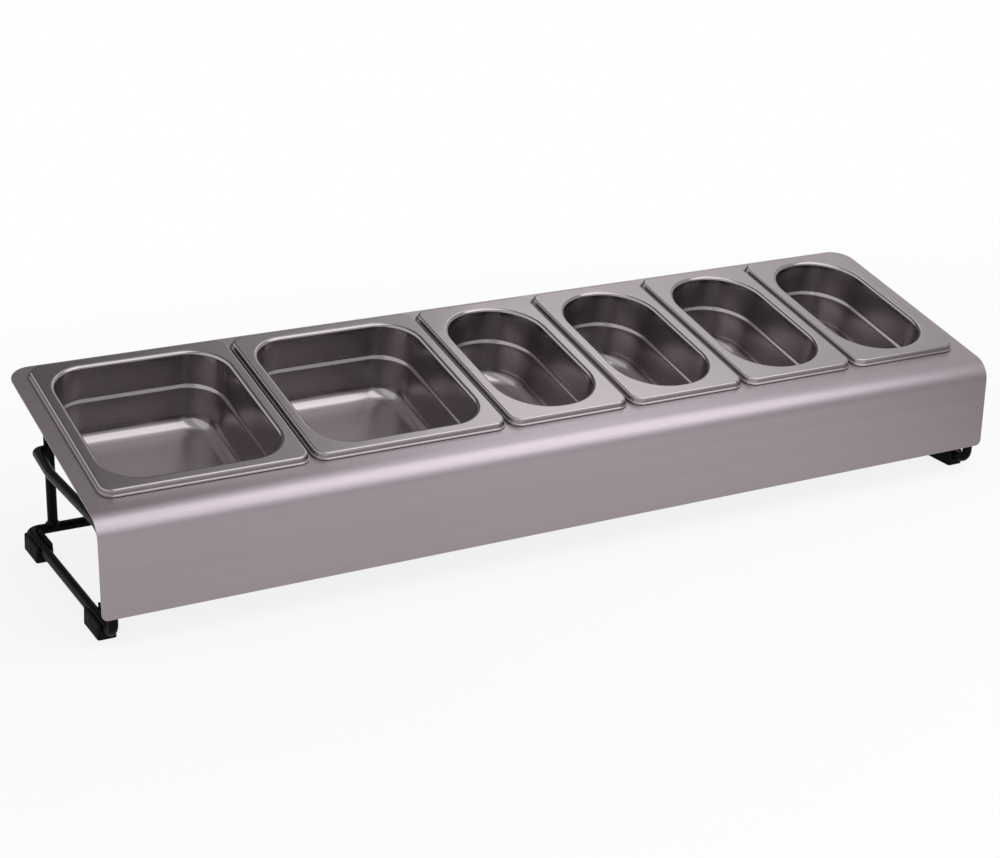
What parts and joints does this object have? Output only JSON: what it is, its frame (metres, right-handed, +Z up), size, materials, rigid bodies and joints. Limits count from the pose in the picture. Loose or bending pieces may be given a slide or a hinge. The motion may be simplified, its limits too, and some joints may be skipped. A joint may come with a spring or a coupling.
{
  "type": "topping station",
  "caption": "Free-standing sloped sheet rack on a round wire stand with rubber feet, holding lift-out food pans of two sizes in its cut-outs.",
  "frame": {"origin": "middle of the footprint, on the surface that the feet stand on", "axes": "+X along the rack towards the small pans, +Y from the apron to the rear, +Z up"},
  "size_m": [0.788, 0.208, 0.1446],
  "materials": {
    "brushed_sheet": "satin, brushed along the length",
    "pressed_sheet": "satin, brighter on the pressed rims",
    "black_coating": "semi-gloss black coating",
    "foot_rubber": "matt black",
    "zinc": "zinc plated"
  },
  "bodies": {
    "rack": {"rack_shell": "brushed_sheet", "stand_wire": "black_coating", "rear_post_left": "black_coating", "rear_post_right": "black_coating", "post_pad_left": "black_coating", "post_pad_right": "black_coating", "pad_stud_left_1": "zinc", "pad_stud_left_2": "zinc", "pad_stud_right_1": "zinc", "pad_stud_right_2": "zinc", "pad_nut_left_1": "zinc", "pad_nut_left_2": "zinc", "pad_nut_right_1": "zinc", "pad_nut_right_2": "zinc", "leg_strap_left": "brushed_sheet", "leg_strap_right": "brushed_sheet", "foot_front_left": "foot_rubber", "foot_front_right": "foot_rubber", "foot_rear_left": "foot_rubber", "foot_rear_right": "foot_rubber"},
    "sixth_1": {"pan_sixth_1": "pressed_sheet"},
    "sixth_2": {"pan_sixth_2": "pressed_sheet"},
    "ninth_1": {"pan_ninth_1": "pressed_sheet"},
    "ninth_2": {"pan_ninth_2": "pressed_sheet"},
    "ninth_3": {"pan_ninth_3": "pressed_sheet"},
    "ninth_4": {"pan_ninth_4": "pressed_sheet"}
  },
  "joints": [
    {"name": "lift_sixth_1", "type": "slide", "parent": "rack", "child": "sixth_1", "axis": [0, -0.2181, 0.9759], "range_m": [0, 0.09]},
    {"name": "lift_sixth_2", "type": "slide", "parent": "rack", "child": "sixth_2", "axis": [0, -0.2181, 0.9759], "range_m": [0, 0.09]},
    {"name": "lift_ninth_1", "type": "slide", "parent": "rack", "child": "ninth_1", "axis": [0, -0.2181, 0.9759], "range_m": [0, 0.09]},
    {"name": "lift_ninth_2", "type": "slide", "parent": "rack", "child": "ninth_2", "axis": [0, -0.2181, 0.9759], "range_m": [0, 0.09]},
    {"name": "lift_ninth_3", "type": "slide", "parent": "rack", "child": "ninth_3", "axis": [0, -0.2181, 0.9759], "range_m": [0, 0.09]},
    {"name": "lift_ninth_4", "type": "slide", "parent": "rack", "child": "ninth_4", "axis": [0, -0.2181, 0.9759], "range_m": [0, 0.09]}
  ]
}
